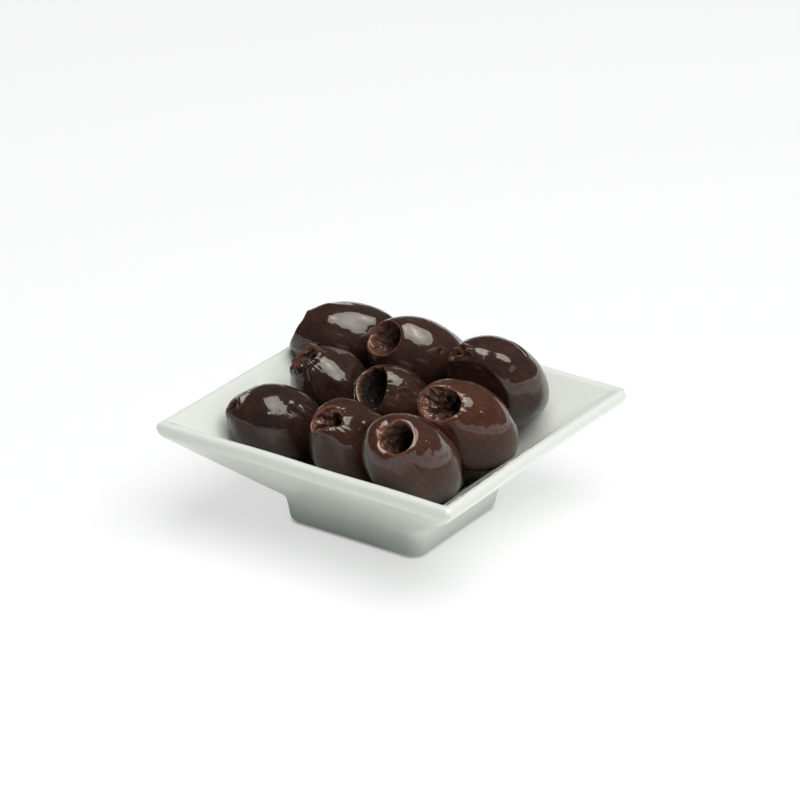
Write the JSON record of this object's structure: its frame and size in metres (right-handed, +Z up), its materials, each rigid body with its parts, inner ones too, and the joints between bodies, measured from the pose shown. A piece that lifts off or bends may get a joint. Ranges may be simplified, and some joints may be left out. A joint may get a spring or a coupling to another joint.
{
  "type": "dish of olives",
  "caption": "Small square footed dip dish in white porcelain, heaped with pitted dark olives in a rough square.",
  "frame": {"origin": "middle of the foot's underside, at the height the dish stands on", "axes": "+Z up; the dish's sides lie along X and Y; most olives' pit holes face -Y and -X"},
  "size_m": [0.0804, 0.0804, 0.0428],
  "materials": {
    "porcelain": "glossy glaze",
    "olive": "wet and shiny"
  },
  "bodies": {
    "root": {"dish": "porcelain", "olives": "olive"}
  },
  "joints": []
}
